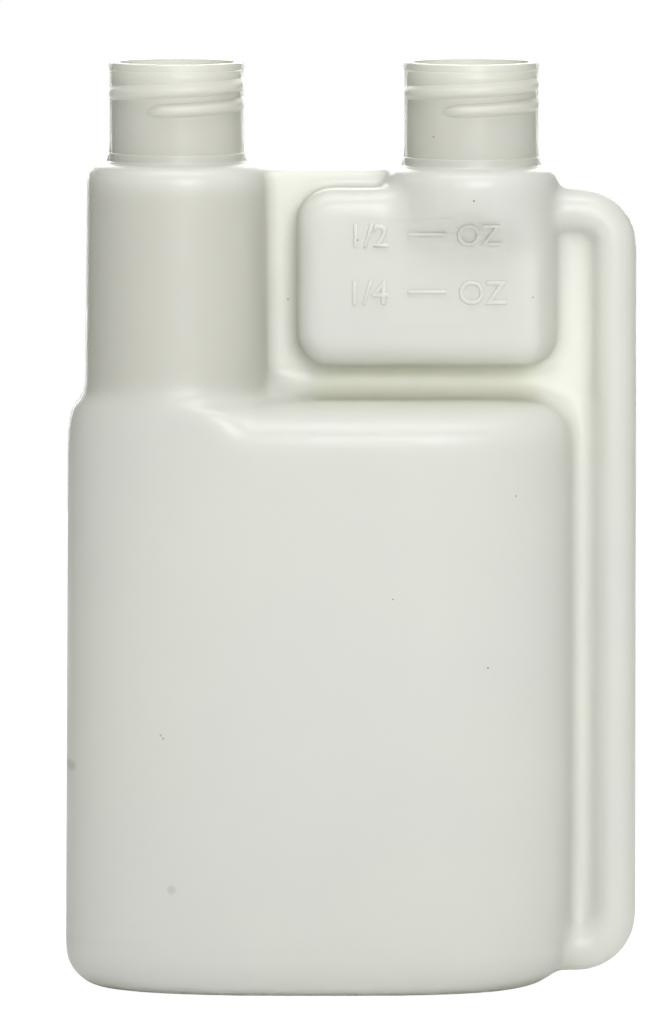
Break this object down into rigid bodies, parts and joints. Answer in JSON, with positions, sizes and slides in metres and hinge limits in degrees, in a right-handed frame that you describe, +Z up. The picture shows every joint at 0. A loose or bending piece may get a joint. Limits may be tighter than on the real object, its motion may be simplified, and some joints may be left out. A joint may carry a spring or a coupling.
{
  "type": "dosing bottle",
  "caption": "Twin-neck squeeze dosing bottle, blow-moulded in one piece, with a reservoir, a transfer tube and a small measuring chamber under the dosing neck",
  "frame": {"origin": "on the ground under the middle of the bottle's overall width, on the parting plane", "axes": "+Z up, the front with the graduations towards -Y, the transfer tube towards +X"},
  "size_m": [0.093, 0.037, 0.151],
  "materials": {
    "natural_polyethylene": "undyed high-density polyethylene, milky and translucent, satin from the mould"
  },
  "bodies": {
    "root": {"bottle": "natural_polyethylene"}
  },
  "joints": []
}
